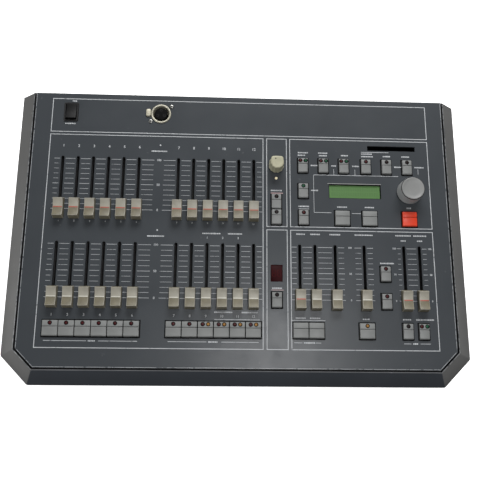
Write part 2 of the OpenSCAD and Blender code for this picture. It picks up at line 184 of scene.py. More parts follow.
paint = {
    "panel": surface("panel_paint", srgb(69, 73, 77), 0.32, vary=0.05, patch=14, grain=5200,
                     bump=0.09, worn=srgb(86, 89, 92), worn_at=0.7, specular_ior_level=0.26),
    # painted highlight: a light line along the panel's rounded edge, with wear patches
    "edge": surface("panel_edge_highlight_and_wear", srgb(156, 159, 162), 0.34, vary=0.16, patch=26,
                    grain=5200, worn=srgb(86, 90, 94), worn_at=0.56),
    # painted highlight: the housing's lip along the groove, lighter than the housing, with wear
    # patches
    "rim": surface("housing_rim_highlight_and_wear", srgb(140, 142, 143), 0.34, vary=0.2, patch=26,
                   grain=4200, worn=srgb(92, 95, 98), worn_at=0.5),
    "rim_front_highlight": surface("housing_rim_front_highlight", srgb(122, 124, 127), 0.34, vary=0.14, patch=26,
                         grain=4200, worn=srgb(176, 179, 182), worn_at=0.68),
    "print": surface("panel_print", srgb(200, 203, 206), 0.6, vary=0.08, patch=30, bump=0.02,
                     worn=srgb(140, 143, 146), worn_at=0.62),
    "print_rose": surface("panel_print_rose", srgb(190, 164, 164), 0.6, vary=0.05),
    "tick": surface("panel_tick", srgb(190, 193, 196), 0.6, vary=0.12, patch=60, bump=0.02,
                    worn=srgb(128, 131, 134), worn_at=0.6),
    "housing": surface("housing_plastic", srgb(110, 110, 109), 0.44, vary=0.06, patch=16,
                       grain=3400, bump=0.16, worn=srgb(134, 134, 130), worn_at=0.71,
                       specular_ior_level=0.3),
    # painted shade: the housing's front rail and bevel, darker than its sides
    "front": surface("housing_front_painted_shade", srgb(70, 74, 80), 0.42, vary=0.08, patch=16,
                     grain=3400, bump=0.12, worn=srgb(100, 103, 108), worn_at=0.72,
                     specular_ior_level=0.3),
    "groove": surface("groove_shadow", srgb(20, 20, 21), 0.8, vary=0.1),
    "base": surface("base_paint", srgb(60, 62, 64), 0.5, vary=0.08, bump=0.12, grain=3000,
                    worn=srgb(104, 104, 104)),
    "rubber": surface("foot_rubber", srgb(26, 26, 27), 0.85, vary=0.16, bump=0.2, grain=2200),
    "screw": surface("screw_steel", srgb(176, 176, 172), 0.32, metallic=1.0, vary=0.1,
                     patch=220, grain=6000, bump=0.04),
    "laminate": surface("board_laminate", srgb(20, 40, 28), 0.5, vary=0.12),
    "track": surface("track_black", srgb(18, 18, 19), 0.6, vary=0.12),
    "black": surface("black_plastic", srgb(22, 22, 23), 0.48, vary=0.14, patch=70, bump=0.1,
                     worn=srgb(48, 48, 48), worn_at=0.74),
    "gloss": surface("black_gloss", srgb(14, 14, 15), 0.55, vary=0.14, patch=70, bump=0.02,
                     specular_ior_level=0.3),
    # black for socket cores, and for painted shade around keys, fader slots and the display
    # window
    "core": surface("black_core_and_painted_shade", srgb(9, 9, 10), 0.7, vary=0.14, patch=70, bump=0.02,
                    specular_ior_level=0.12),
    "lcd": surface("display_green", srgb(86, 128, 68), 0.4, vary=0.04, patch=55, bump=0.01),
    "pixels": surface("display_cells", srgb(81, 122, 64), 0.45, vary=0.04, patch=90),
    "red_window": surface("display_red", srgb(44, 4, 8), 0.55, vary=0.2, patch=90, spread=0.04,
                          bump=0.01, specular_ior_level=0.1),
    "segment": surface("display_segment", srgb(66, 7, 12), 0.55, vary=0.1, patch=200,
                       specular_ior_level=0.1),
    "socket": surface("socket_metal", srgb(206, 202, 184), 0.36, metallic=0.3, vary=0.07,
                      patch=150, grain=4000, bump=0.05, worn=srgb(150, 146, 130)),
    "latch": surface("latch_metal", srgb(204, 199, 178), 0.42, metallic=0.15, vary=0.06,
                     patch=180, bump=0.05),
    "iron": surface("transformer_iron", srgb(92, 84, 76), 0.5, metallic=0.5, vary=0.2),
    "dial": surface("dial_grey", srgb(142, 143, 142), 0.44, vary=0.05, patch=60, grain=4200,
                    bump=0.08, worn=srgb(126, 127, 126), worn_at=0.75),
    # painted light: the knob's side painted lighter than its top
    "dial_side_painted_light": surface("dial_grey_side_painted_light", srgb(182, 184, 184), 0.46, vary=0.07, patch=90,
                         grain=4200, bump=0.1),
    "cream": surface("knob_cream", srgb(184, 181, 154), 0.44, vary=0.06, patch=110, bump=0.06,
                     worn=srgb(150, 144, 118), worn_at=0.7),
    "key": surface("key_grey", srgb(135, 137, 136), 0.5, vary=0.05, patch=90, grain=5000,
                   bump=0.08, worn=srgb(122, 122, 118), worn_at=0.7),
    "seam": surface("key_seam", srgb(30, 30, 31), 0.6, vary=0.1),
    "red_key": surface("key_red", srgb(232, 68, 36), 0.42, vary=0.06, patch=110, grain=5000,
                       bump=0.06, worn=srgb(184, 56, 36), worn_at=0.7),
    "red_seam": surface("key_seam_red", srgb(120, 30, 18), 0.6, vary=0.1),
    # painted light and shade on the caps: a lighter rear half, a darker front half and darker
    # sides
    "cap": surface("cap_cream", srgb(168, 164, 151), 0.42, vary=0.08, patch=120, grain=4200,
                   bump=0.07, worn=srgb(132, 125, 104), worn_at=0.66),
    "cap_front_painted_shade": surface("cap_cream_front_painted_shade", srgb(120, 114, 95), 0.46, vary=0.12, patch=160,
                         grain=4200, bump=0.09, worn=srgb(96, 88, 68), worn_at=0.62),
    "cap_side_painted_shade": surface("cap_cream_side_painted_shade", srgb(122, 116, 98), 0.5, vary=0.09, patch=120,
                        grain=4200, bump=0.09),
    "line_red": surface("cap_line_red", srgb(176, 92, 78), 0.45, vary=0.1, patch=160),
    "line_white": surface("cap_line_white", srgb(212, 210, 198), 0.45, vary=0.06, patch=160),
    "steel": surface("lever_steel", srgb(150, 150, 150), 0.36, metallic=1.0, vary=0.1),
    "brass": surface("contact_brass", srgb(186, 160, 96), 0.3, metallic=1.0, vary=0.1),
    "bezel": surface("lens_bezel", srgb(12, 11, 11), 0.7, vary=0.08, patch=200,
                     specular_ior_level=0.1),
    # painted highlight along the display window's rear edge
    "frame": surface("display_edge_highlight", srgb(150, 152, 150), 0.4, vary=0.08, patch=80),
}


def lens(name, colour, glow=0.0):
    """A small indicator lens; glow is how brightly it is lit."""
    return surface(name, colour, 0.36, vary=0.18, patch=260, spread=0.1, bump=0.02,
                   specular_ior_level=0.25, emission_color=colour + (1,),
                   emission_strength=glow)


paint.update({
    "led_dark": lens("lens_dark", srgb(24, 9, 10)),
    "led_red": lens("lens_red", srgb(66, 12, 16)),
    "led_amber": lens("lens_amber", srgb(150, 106, 44)),
    "led_green": lens("lens_green", srgb(22, 78, 52)),
    "led_white": lens("lens_white", srgb(240, 226, 190), 0.4),
})


# ------------------------------------------------------------------------- mesh building

def circle(r, z, n, at):
    turns = [2 * math.pi * i / n for i in range(n)]
    return [(at[0] + r * math.cos(turn), at[1] + r * math.sin(turn), z) for turn in turns]


def round_rect(w, h, r, z, at=(0, 0), n=5):
    """A rectangle with rounded corners, as a ring of points."""
    ring = []
    for k, (sx, sy) in enumerate(((1, 1), (-1, 1), (-1, -1), (1, -1))):
        for i in range(n + 1):
            turn = math.pi / 2 * (k + i / n)
            ring.append((at[0] + sx * (w / 2 - r) + r * math.cos(turn),
                         at[1] + sy * (h / 2 - r) + r * math.sin(turn), z))
    return ring


def lobed(r, depth, count, z, at, n=4):
    """A circle with count shallow flutes cut depth deep."""
    ring = []
    for i in range(count * n):
        turn = 2 * math.pi * i / (count * n)
        reach = r - depth * (0.5 + 0.5 * math.cos(count * turn)) ** 2
        ring.append((at[0] + reach * math.cos(turn), at[1] + reach * math.sin(turn), z))
    return ring


def dish(x, half, sag):
    """Depth at x of an arc that runs from -half to half and is sag deep in the middle."""
    r = (sag * sag + half * half) / (2 * sag)
    return r - sag - math.sqrt(r * r - x * x)


class Shape:
    """Faces gathered in millimetres in one frame, then made into one object."""

    def __init__(self, place=PANEL):
        self.bm = bmesh.new()
        self.place = place
        self.mat = 0

    def face(self, verts):
        made = self.bm.faces.new(verts)
        made.material_index = self.mat
        return made

    def loft(self, rings, caps=(True, True), closed=True):
        """A skin through rings of points, with its ends closed if caps says so."""
        rows = [[self.bm.verts.new(p) for p in ring] for ring in rings]
        count = len(rows[0])
        for a, b in zip(rows, rows[1:]):
            for i in range(count if closed else count - 1):
                j = (i + 1) % count
                self.face((a[i], a[j], b[j], b[i]))
        if caps[0]:
            self.face(rows[0][::-1])
        if caps[1]:
            self.face(rows[-1])
        return rows

    def tube(self, rings):
        """A ring-shaped solid: its section runs through the rings and back to the first."""
        rows = self.loft(rings, caps=(False, False))
        for i in range(len(rows[0])):
            j = (i + 1) % len(rows[0])
            self.face((rows[-1][i], rows[-1][j], rows[0][j], rows[0][i]))

    def strip(self, section):
        """A solid along open paths, with its section's corners given path by path."""
        rows = self.loft(section, caps=(False, False), closed=False)
        for i in range(len(rows[0]) - 1):
            self.face((rows[-1][i], rows[-1][i + 1], rows[0][i + 1], rows[0][i]))
        for end in (0, -1):
            self.face([row[end] for row in rows])
        return rows

    def tint(self, rows, row, i, index):
        """Gives another material to the face between two rows, after their point i."""
        corners = {rows[row][i], rows[row][i + 1], rows[row + 1][i], rows[row + 1][i + 1]}
        for face in rows[row][i].link_faces:
            if corners == set(face.verts):
                face.material_index = index

    def prism(self, outline, low, high):
        return self.loft([[(x, y, low) for x, y in outline], [(x, y, high) for x, y in outline]])

    def block(self, at, size, low, high):
        x, y, w, h = at[0], at[1], size[0] / 2, size[1] / 2
        return self.prism([(x - w, y - h), (x + w, y - h), (x + w, y + h), (x - w, y + h)],
                          low, high)

    def side(self, profile, x, half_w, draft=None):
        """A profile in Y and Z drawn out along X; draft(z) narrows it as z rises."""
        draft = draft or (lambda z: 0)
        return self.loft([[(x - half_w + draft(z), y, z) for y, z in profile],
                          [(x + half_w - draft(z), y, z) for y, z in profile]])

    def text(self, words, at, size, high=0.08):
        """Generic figures as thin raised print."""
        curve = bpy.data.curves.new("figures", "FONT")
        curve.body, curve.size, curve.extrude = words, size, high / 2
        curve.align_x, curve.align_y = "CENTER", "CENTER"
        curve.resolution_u, curve.offset = 3, 0.02 * size
        holder = bpy.data.objects.new("figures", curve)
        mesh = bpy.data.meshes.new_from_object(holder)
        mesh.transform(Matrix.Translation((at[0], at[1], high / 2)))
        first = len(self.bm.faces)
        self.bm.from_mesh(mesh)
        self.bm.faces.ensure_lookup_table()
        for made in self.bm.faces[first:]:
            made.material_index = self.mat
        bpy.data.objects.remove(holder)
        bpy.data.curves.remove(curve)
        bpy.data.meshes.remove(mesh)

    def bevel(self, width, segments=3, angle=32):
        """Rounds every edge sharper than angle, in degrees."""
        bmesh.ops.recalc_face_normals(self.bm, faces=self.bm.faces)
        limit = math.radians(angle)
        edges = [e for e in self.bm.edges
                 if len(e.link_faces) == 2 and e.calc_face_angle(0) > limit]
        bmesh.ops.bevel(self.bm, geom=edges, offset=width, offset_type="OFFSET",
                        segments=segments, profile=0.5, affect="EDGES", clamp_overlap=True)

    def done(self, name, body, mats, replaces=(), width=0, segments=3, smooth=40):
        """Makes the object, hangs it under its body and hides the CAD parts it replaces."""
        bmesh.ops.recalc_face_normals(self.bm, faces=self.bm.faces)
        if width:
            self.bevel(width, segments)
        mesh = bpy.data.meshes.new(name)
        self.bm.transform(self.place)
        self.bm.to_mesh(mesh)
        self.bm.free()
        for mat in mats:
            mesh.materials.append(paint[mat])
        for face in mesh.polygons:
            face.use_smooth = True
        mesh.set_sharp_from_angle(angle=math.radians(smooth))
        made = bpy.data.objects.new(name, mesh)
        bpy.context.scene.collection.objects.link(made)
        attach(made, body)
        if replaces:
            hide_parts(*replaces)
        return made


def dress(node, mat):
    """Gives a CAD node its finish."""
    for slot in nodes[node].material_slots:
        slot.material = paint[mat]


# ------------------------------------------------------------------------------- housing

GROOVE = 2           # width of the open groove around the panel
CHANNEL = 8          # and its depth
BEVEL_DROP = 12      # how far the bevel falls from the groove to the outer wall
WALL = 4
PANEL_T = 2
LEDGE_W = 6          # how far the housing's ledge reaches under the panel
CORNER_CUT = 20
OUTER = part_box("housing")[1].x / MM - HALF_W
FOOT_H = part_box("rubber_feet")[1].z / MM


def outline(off, z, to_floor=False):
    """The panel's outline grown by off, at a level of the panel's frame, up to the back.
    With to_floor, it is carried down square to the panel to the housing's lower edge."""
    world = WORLD.inverted() @ PANEL
    side, cut = HALF_W + off, CORNER_CUT + off * (2 - math.sqrt(2))
    points = [(-side, None), (-side, cut - off), (-side + cut, -off),
              (side - cut, -off), (side, cut - off), (side, None)]
    ring = []
    for x, y in points:
        level = z
        if to_floor and y is not None:
            level = (FOOT_H - (world @ Vector((0, y, 0))).z) / math.cos(SLOPE)
        if y is None:
            y = (REAR_Y - (world @ Vector((0, 0, level))).y) / math.cos(SLOPE)
        spot = world @ Vector((x, y, level))
        ring.append(Vector((spot.x, spot.y, FOOT_H)) if to_floor else spot)
    return ring


def build_housing():
    """The moulded surround: walls, bevel, groove, and the ledge under the panel."""
    under = -BEVEL_DROP - WALL
    section = [outline(OUTER, 0, True), outline(OUTER, -BEVEL_DROP), outline(GROOVE, 0),
               outline(GROOVE, -CHANNEL), outline(0, -CHANNEL), outline(0, -PANEL_T),
               outline(-LEDGE_W, -PANEL_T), outline(-LEDGE_W, under),
               outline(OUTER - WALL, under), outline(OUTER - WALL, 0, True)]
    shape = Shape(WORLD)
    rows = shape.strip(section)
    sheet = PANEL_T + 0.05      # the rear wall's sheet, with its clearance
    for row in (6, 7):          # the ledge ends in front of that sheet
        for end in (0, -1):
            rows[row][end].co.y -= sheet

    for row in (2, 3, 4):       # the groove
        for i in range(5):
            shape.tint(rows, row, i, 1)
    for row in (0, 1):          # the front wall and its bevel, darker as painted shade
        shape.tint(rows, row, 2, 2)

    weight = shape.bm.edges.layers.float.new("bevel_weight_edge")

    def soften(a, b, share):
        edge = shape.bm.edges.get((a, b))
        if edge:
            edge[weight] = share

    for row, share in ((0, 0.25), (1, 0.4), (2, 0.22)):
        for a, b in zip(rows[row], rows[row][1:]):
            soften(a, b, share)
    for end in (0, -1):
        soften(rows[0][end], rows[1][end], 0.2)
        soften(rows[1][end], rows[2][end], 0.2)
    for corner in (1, 2, 3, 4):
        soften(rows[0][corner], rows[1][corner], 0.5)
        soften(rows[1][corner], rows[2][corner], 0.3)
    made = shape.done("housing_shell", "desk",
                      ["housing", "groove", "front"], replaces=["housing"])
    bevel = made.modifiers.new("edge", "BEVEL")
    bevel.width = 3.0 * MM
    bevel.segments = 4
    bevel.limit_method = "WEIGHT"
    build_rear_ends(outline(0, under)[0].z + 0.5, sheet)
    build_rim()


def build_rear_ends(top, sheet):
    """Fillings of the housing's open back: beside the rear wall, behind it, in the groove."""
    shape = Shape(WORLD)
    seam, wall_in = HALF_W + 0.1, HALF_W + OUTER - WALL + 0.5
    for side in (-1, 1):
        for inner, outer, back in ((seam, wall_in, REAR_Y - 0.02),
                                   (HALF_W - 12, seam, REAR_Y - sheet)):
            shape.block((side * (inner + outer) / 2, (REAR_Y - WALL + back) / 2),
                        (outer - inner, back - REAR_Y + WALL), FOOT_H, top)
        shape.mat = 1
        shape.block((side * (HALF_W + GROOVE / 2 + 0.05), REAR_Y - WALL / 2 - 0.02),
                    (GROOVE + 0.1, WALL), top, outline(0, -0.8)[0].z)
        shape.mat = 0
    shape.done("housing_rear_ends", "desk", ["housing", "groove"])


def build_rim():
    """The lip of the housing along the groove, lighter as a painted highlight, with wear patches.
    """
    shape = Shape(WORLD)
    rows = shape.strip([outline(GROOVE + 0.3, -0.9), outline(GROOVE + 0.02, -0.62),
                        outline(GROOVE + 0.06, -0.1), outline(GROOVE + 0.3, -0.12),
                        outline(GROOVE + 1.1, -0.74)])
    for row in range(4):
        shape.tint(rows, row, 2, 1)
    shape.done("housing_rim", "desk", ["rim", "rim_front_highlight"])


def build_panel_edge():
    """The rounded edge of the panel's sheet along its sides and front, lighter as a painted
    highlight, with wear patches.
    """
    shape = Shape(WORLD)
    shape.strip([outline(-1.0, -0.4), outline(-1.0, 0.03), outline(-0.5, 0.08),
                 outline(-0.1, -0.08), outline(0.03, -0.5), outline(0.03, -1.6),
                 outline(-0.4, -1.6)])
    shape.done("panel_edge", "desk", ["edge"])


# --------------------------------------------------------------------------------- keys

KEY_L = 17                   # front to back
KEY_FOOT = 3.5               # how far a key reaches below the panel's face
STRIP_DROP = 0.15            # the flat rear strip lies this far below the key's top
SEAM_Y = KEY_L / 2 - 6.6     # seam between strip and finger face, from the key's middle
LENS_Y = 5.7                 # lens on the strip, from the key's middle
LENS_X = 3                   # half the spacing of a pair of lenses
DARK, RED, AMBER, GREEN = ([(0, "led_" + name)] for name in ("dark", "red", "amber", "green"))
RED_AMBER = [(-LENS_X, "led_red"), (LENS_X, "led_amber")]
RED_GREEN = [(-LENS_X, "led_red"), (LENS_X, "led_green")]
KEY_LENSES = {               # by group, key by key, in the order of islands()
    "flash_keys_1_to_6": [RED] * 6,
    "flash_keys_7_to_12": [RED] * 2 + [RED_AMBER] * 4,
    "column_keys": [DARK] * 3,
    "mode_keys": [RED_GREEN] * 3 + [RED] + [DARK] * 2,
    "display_keys": [RED, GREEN, [], []],
    "record_key": [[]],
    "fade_keys": [RED] * 2,
    "bump_keys": [[], [], AMBER],
    "go_keys": [DARK, RED_GREEN],
}


def add_key(shape, box, seam):
    """One key: flat rear strip, seam, and a finger face that falls to the front."""
    at, half, high = middle(box), (box[1].x - box[0].x) / 2, box[1].z
    back, strip, groove = KEY_L / 2, high - STRIP_DROP, 0.4
    front = SEAM_Y - groove
    finger = [(front - (front + back - 0.9) * t,
               high - 0.7 * t - 0.2 * math.sin(math.pi * t)) for t in (i / 6 for i in range(7))]
    profile = ([(-back, -KEY_FOOT), (back, -KEY_FOOT), (back, strip), (SEAM_Y + groove, strip),
                (SEAM_Y + 0.25, strip - 0.9), (SEAM_Y - 0.25, strip - 0.9)]
               + finger + [(-back, high - 1.6)])
    rows = shape.side([(at.y + y, z) for y, z in profile], at.x, half,
                      lambda z: 0.03 * max(0, z))
    for a, b in zip(rows[0][3:6], rows[0][4:7]):
        for face in a.link_faces:
            if b in face.verts and len(face.verts) == 4:
                face.material_index = seam


def add_lens(shape, box, dx, bezel, colour):
    """A round lens in a black bezel on a key's rear strip."""
    spot, strip = (middle(box).x + dx, middle(box).y + LENS_Y), box[1].z - STRIP_DROP
    shape.mat = bezel
    shape.tube([circle(r, strip + rise, 20, spot) for r, rise in
                ((2.4, -0.6), (2.4, 0.04), (2.2, 0.1), (1.55, 0.06), (1.45, -0.6))])
    shape.mat = colour
    shape.loft([circle(1.56 * math.cos(t), strip + 0.02 + 0.25 * math.sin(t), 20, spot)
                for t in (0, 0.5, 1.0, 1.4)])


def build_keys(node, lens_rows, well_shade):
    """Each key of a group, with its lenses, and a black ring of painted shade around each key
    where its well lies in shadow.
    """
    red = node == "record_key"
    names = (["red_key", "red_seam"] if red else ["key", "seam"])
    names += ["bezel", "led_dark", "led_red", "led_amber", "led_green"]
    boxes = [b for b in islands(node) if b[1].z > 1]
    shape = Shape()
    for box in boxes:
        add_key(shape, box, 1)
    shape.bevel(0.3, 2)
    for box, lenses in zip(boxes, lens_rows):
        for dx, colour in lenses:
            add_lens(shape, box, dx, 2, names.index(colour))
    shape.done(node + "_caps", node, names, replaces=[node])
    for box in boxes:
        # painted shade: a black ring around each key for the shadow in its well
        at, w, h = middle(box), box[1].x - box[0].x, box[1].y - box[0].y
        well_shade.tube([round_rect(w + 2 * out, h + 2 * out, 0.4, z, (at.x, at.y), 3)
                    for out, z in ((1.4, -0.3), (1.4, 0.06), (0.12, 0.06), (0.12, -0.3))])


def build_all_keys():
    well_shade = Shape()
    for node, lens_rows in KEY_LENSES.items():
        build_keys(node, lens_rows, well_shade)
    well_shade.done("key_well_painted_shade", "desk", ["core"])


# ------------------------------------------------------------------------------- faders

TRAVEL = 60
SLOT_W, SLOT_L = 2.6, TRAVEL + 4


def build_slot_edges():
    """A thin black ring of painted shade around each fader slot, widening its dark opening."""
    shape = Shape()
    for node in nodes:
        if "_fader_" in node:
            at = middle(islands(node)[0])
            # painted shade: black edging that stands for the shadow in the slot
            shape.tube([round_rect(SLOT_W + 2 * out, SLOT_L + 2 * out, 0.8, z,
                                   (at.x, at.y + TRAVEL / 2), 3)
                        for out, z in ((0.45, -0.3), (0.45, 0.05), (0.02, 0.05), (0.02, -0.3))])
    shape.done("fader_slot_painted_shade", "desk", ["core"])


def build_fader(node, line):
    """A saddle-shaped cap with a pointer line, its rear half lighter and its front half and sides
    darker as painted light and shade, and the steel lever that it rides on.
    """
    cap, lever = sorted(islands(node), key=lambda b: b[1].x - b[0].x, reverse=True)
    at, half, length = middle(cap), (cap[1].x - cap[0].x) / 2, cap[1].y - cap[0].y
    foot, high, dip = cap[0].z, cap[1].z, 2.2
    end, top, line_half = length / 2, length / 2 - 1.9, 0.6
    spots = sorted([top * i / 8 for i in range(-8, 9) if i] + [-line_half, line_half])
    sweep = [(y, high + dish(y, top, dip)) for y in spots]
    profile = [(-end, foot), (end, foot), (end, foot + 2)] + sweep[::-1] + [(-end, foot + 2)]

    shape = Shape()
    shape.side([(at.y + y, z) for y, z in profile], at.x, half,
               lambda z: 0.45 * (z - foot) / (high - foot))
    # painted light: the rear half of the top is lighter, and the front half and sides are darker
    # as painted shade
    for face in shape.bm.faces:
        face.normal_update()
        centre = face.calc_center_median()
        if abs(face.normal.z) < 0.7 or centre.z < foot + 1:
            face.material_index = 3
        elif abs(centre.y - at.y) < line_half:
            face.material_index = 1
        elif centre.y < at.y:
            face.material_index = 2
    shape.done(node + "_cap", node, ["cap", line, "cap_front_painted_shade", "cap_side_painted_shade"],
               replaces=[node], width=0.5, segments=3)

    stem = Shape()
    mid, size = middle(lever), lever[1] - lever[0]
    stem.block((mid.x, mid.y), (size.x, size.y), lever[0].z, foot + 3)
    stem.done(node + "_lever", node, ["steel"], width=0.2, segments=2)


def build_faders():
    for i in range(1, 13):
        build_fader(f"preset_fader_{i}", "line_red")
        build_fader(f"memory_fader_{i}", "line_white")
    for i in range(1, 7):
        build_fader(f"master_fader_{i}", "line_red" if i in (1, 5, 6) else "line_white")


# -------------------------------------------------------------------- knobs and controls

def build_dial():
    """Large knob: fine flutes on its side, which is painted lighter than the top as painted
    light, a dark step, and a dished top.
    """
    at, r, low, high = widest("encoder_knob")
    top = r - 0.8

    def ring(radius, z, cut=0):
        return lobed(radius, cut, 36, z, (at.x, at.y))

    shape = Shape()
    shape.mat = 1
    shape.loft([ring(top, low), ring(r, low + 0.5, 0.2), ring(r, low + 1.2, 0.55),
                ring(top + 0.15, high - 1.5, 0.5), ring(top, high - 1.0)], caps=(True, False))
    shape.mat = 2
    shape.loft([ring(top - inset, high - drop)
                for inset, drop in ((0, 1.0), (0.15, 0.8), (0.75, 0.8))], caps=(False, False))
    shape.mat = 0
    lid = [ring(top - inset, high - drop) for inset, drop in
           ((0.75, 0.8), (0.8, 0.2), (1.1, 0), (1.9, 0), (2.5, 0.35), (6, 0.6))]
    shape.loft(lid + [ring(2, high - 0.7)], caps=(False, True))
    bmesh.ops.remove_doubles(shape.bm, verts=shape.bm.verts, dist=0.001)
    shape.done("encoder_knob_dial", "encoder_knob", ["dial", "dial_side_painted_light", "seam"],
               replaces=["encoder_knob"])


def build_speed_knob():
    """Small cream knob: squared off at the back, with finger flutes round the front."""
    at, r, low, high = widest("speed_knob")
    count = 96

    def ring(grow, z):
        points = []
        for i in range(count):
            turn = 2 * math.pi * i / count
            c, s = math.cos(turn), math.sin(turn)
            square = 2 + 4 * max(0, s)
            reach = (r + grow) / (abs(c) ** square + abs(s) ** square) ** (1 / square)
            if s < 0.2:
                reach += 0.55 - 0.55 * math.cos(6 * turn) ** 4
            points.append((at.x + reach * c, at.y + reach * s, z))
        return points

    shape = Shape()
    shape.loft([ring(0, low), ring(0.6, low + 0.4), ring(0.6, low + 2.2), ring(0, low + 2.8),
                ring(-0.3, high - 1.2), ring(-0.5, high - 0.4), ring(-1.0, high),
                ring(-2.2, high), ring(-4.4, high - 0.25)])
    shape.done("speed_knob_body", "speed_knob", ["cream"], replaces=["speed_knob"])
    mark = Shape()
    spot = (at.x - 2, at.y + 4)
    mark.loft([circle(0.8, high - 0.2, 16, spot), circle(0.75, high, 16, spot)])
    mark.done("speed_knob_mark", "speed_knob", ["seam"])


def build_switch():
    """Mains rocker in its snap-in frame."""
    low, high = node_box("rocker_frame")
    at, rim = ((low.x + high.x) / 2, (low.y + high.y) / 2), (high.x - low.x, high.y - low.y)
    bottom, top = low.z, high.z
    case, hole = (rim[0] - 2.2, rim[1] - 2.2), (rim[0] - 4, rim[1] - 3.8)
    shape = Shape()
    shape.loft([round_rect(*case, 0.8, bottom, at), round_rect(*case, 0.8, 0, at),
                round_rect(*rim, 1.6, 0, at), round_rect(*rim, 1.6, top - 0.5, at),
                round_rect(rim[0] - 0.9, rim[1] - 0.9, 1.3, top, at),
                round_rect(hole[0] + 0.5, hole[1] + 0.5, 0.9, top, at),
                round_rect(*hole, 0.7, top - 0.4, at), round_rect(*hole, 0.7, bottom + 2, at)])
    shape.done("rocker_frame_rim", "desk", ["black"], replaces=["rocker_frame"])

    tilt, pivot, half_w, half_l = math.radians(8), -2, 5.9, 9.2
    face = [(y, 4.4 + dish(y, half_l, 1.2)) for y in (half_l * i / 6 for i in range(-6, 7))]
    profile = face[::-1] + [(-half_l, 1.6), (-3, -3.5), (3, -3.5), (half_l, 1.6)]
    turned = [(at[1] + y * math.cos(tilt) + z * math.sin(tilt),
               pivot - y * math.sin(tilt) + z * math.cos(tilt)) for y, z in profile]
    rocker = Shape()
    rocker.side(turned, at[0], half_w)
    rocker.done("power_rocker_cap", "power_rocker", ["gloss"],
                replaces=["power_rocker"], width=0.45)


# ------------------------------------------------------------------------------- sockets

def build_socket(name, stands_for, place, at, top, contacts, flange=None):
    """A round chassis socket: shell, annular gap, black core with contacts.
    flange gives the low and high of the plate around a socket that has one."""
    def rings(steps, n, spot=at):
        return [circle(r, top - drop, n, spot) for r, drop in steps]

    shell = Shape(place)
    if flange:
        low, high = flange
        w, h, hole_r, count = 31, 26, 11.5, 24
        turns = [2 * math.pi * (i + 0.5) / count for i in range(count)]
        hole = [(at[0] + hole_r * math.cos(t), at[1] + hole_r * math.sin(t)) for t in turns]
        shell.tube([round_rect(w, h, 2.5, low, at), round_rect(w, h, 2.5, high - 0.4, at),
                    round_rect(w - 0.8, h - 0.8, 2.1, high, at),
                    [(x, y, high) for x, y in hole], [(x, y, low) for x, y in hole]])
    shell.loft(rings(((11.4, 21), (11.7, 20.5), (11.7, 0.7), (11.35, 0.15), (10.9, 0),
                      (10.3, 0), (9.85, 0.25), (9.6, 0.8), (9.6, 15)), 48))
    shell.done(name + "_shell", "desk", ["socket"], replaces=stands_for)

    core = Shape(place)
    core.loft(rings(((7.6, 15), (7.6, 1.5), (7.1, 1), (1.0, 0.95)), 40))
    contact_r = 4.4
    for i in range(contacts):
        turn = 2 * math.pi * i / contacts + math.pi / 2
        spot = (at[0] + contact_r * math.cos(turn), at[1] + contact_r * math.sin(turn))
        core.mat = 2
        core.loft(rings(((1.45, 1.05), (1.45, 0.86), (1.15, 0.86), (1.05, 1.1)), 20, spot),
                  caps=(True, False))
        core.mat = 1
        core.loft(rings(((1.05, 1.12), (0.5, 1.1)), 20, spot))
    core.done(name + "_core", "desk", ["core", "led_dark", "black"])


def build_latch():
    """The socket's release tab, with a domed top and a ribbed thumb rest."""
    low, high = node_box("socket_latch")
    at, size = ((low.x + high.x) / 2, (low.y + high.y) / 2), high - low

    def ring(inset, r, z):
        return round_rect(size.x - inset, size.y - inset, r, z, at)

    shape = Shape()
    shape.loft([ring(0, 1.9, low.z), ring(0, 1.9, high.z - 0.9), ring(0.5, 1.7, high.z - 0.3),
                ring(1.5, 1.2, high.z - 0.1)])
    for k in (-1, 0, 1):
        rib = (at[0], at[1] + 1.6 * k)
        shape.loft([round_rect(size.x - 2, 0.6, 0.25, high.z - 0.3, rib),
                    round_rect(size.x - 2.2, 0.4, 0.15, high.z, rib)])
    shape.done("socket_latch_tab", "socket_latch", ["latch"],
               replaces=["socket_latch"])


def screw_head(shape, at, r, top, low):
    """A pan head with a cross recess."""
    shape.loft([circle(r, low, 24, at), circle(r, top - 0.45, 24, at),
                circle(r * 0.86, top - 0.12, 24, at), circle(r * 0.62, top, 24, at)])
    shape.mat = 1
    for turn in (0.4, 0.4 + math.pi / 2):
        c, s, a, b = math.cos(turn), math.sin(turn), r * 0.52, r * 0.13
        shape.prism([(at[0] + u * c - v * s, at[1] + u * s + v * c)
                     for u, v in ((-a, -b), (a, -b), (a, b), (-a, b))], top - 0.2, top + 0.01)
    shape.mat = 0


# ------------------------------------------------------------------------------ displays

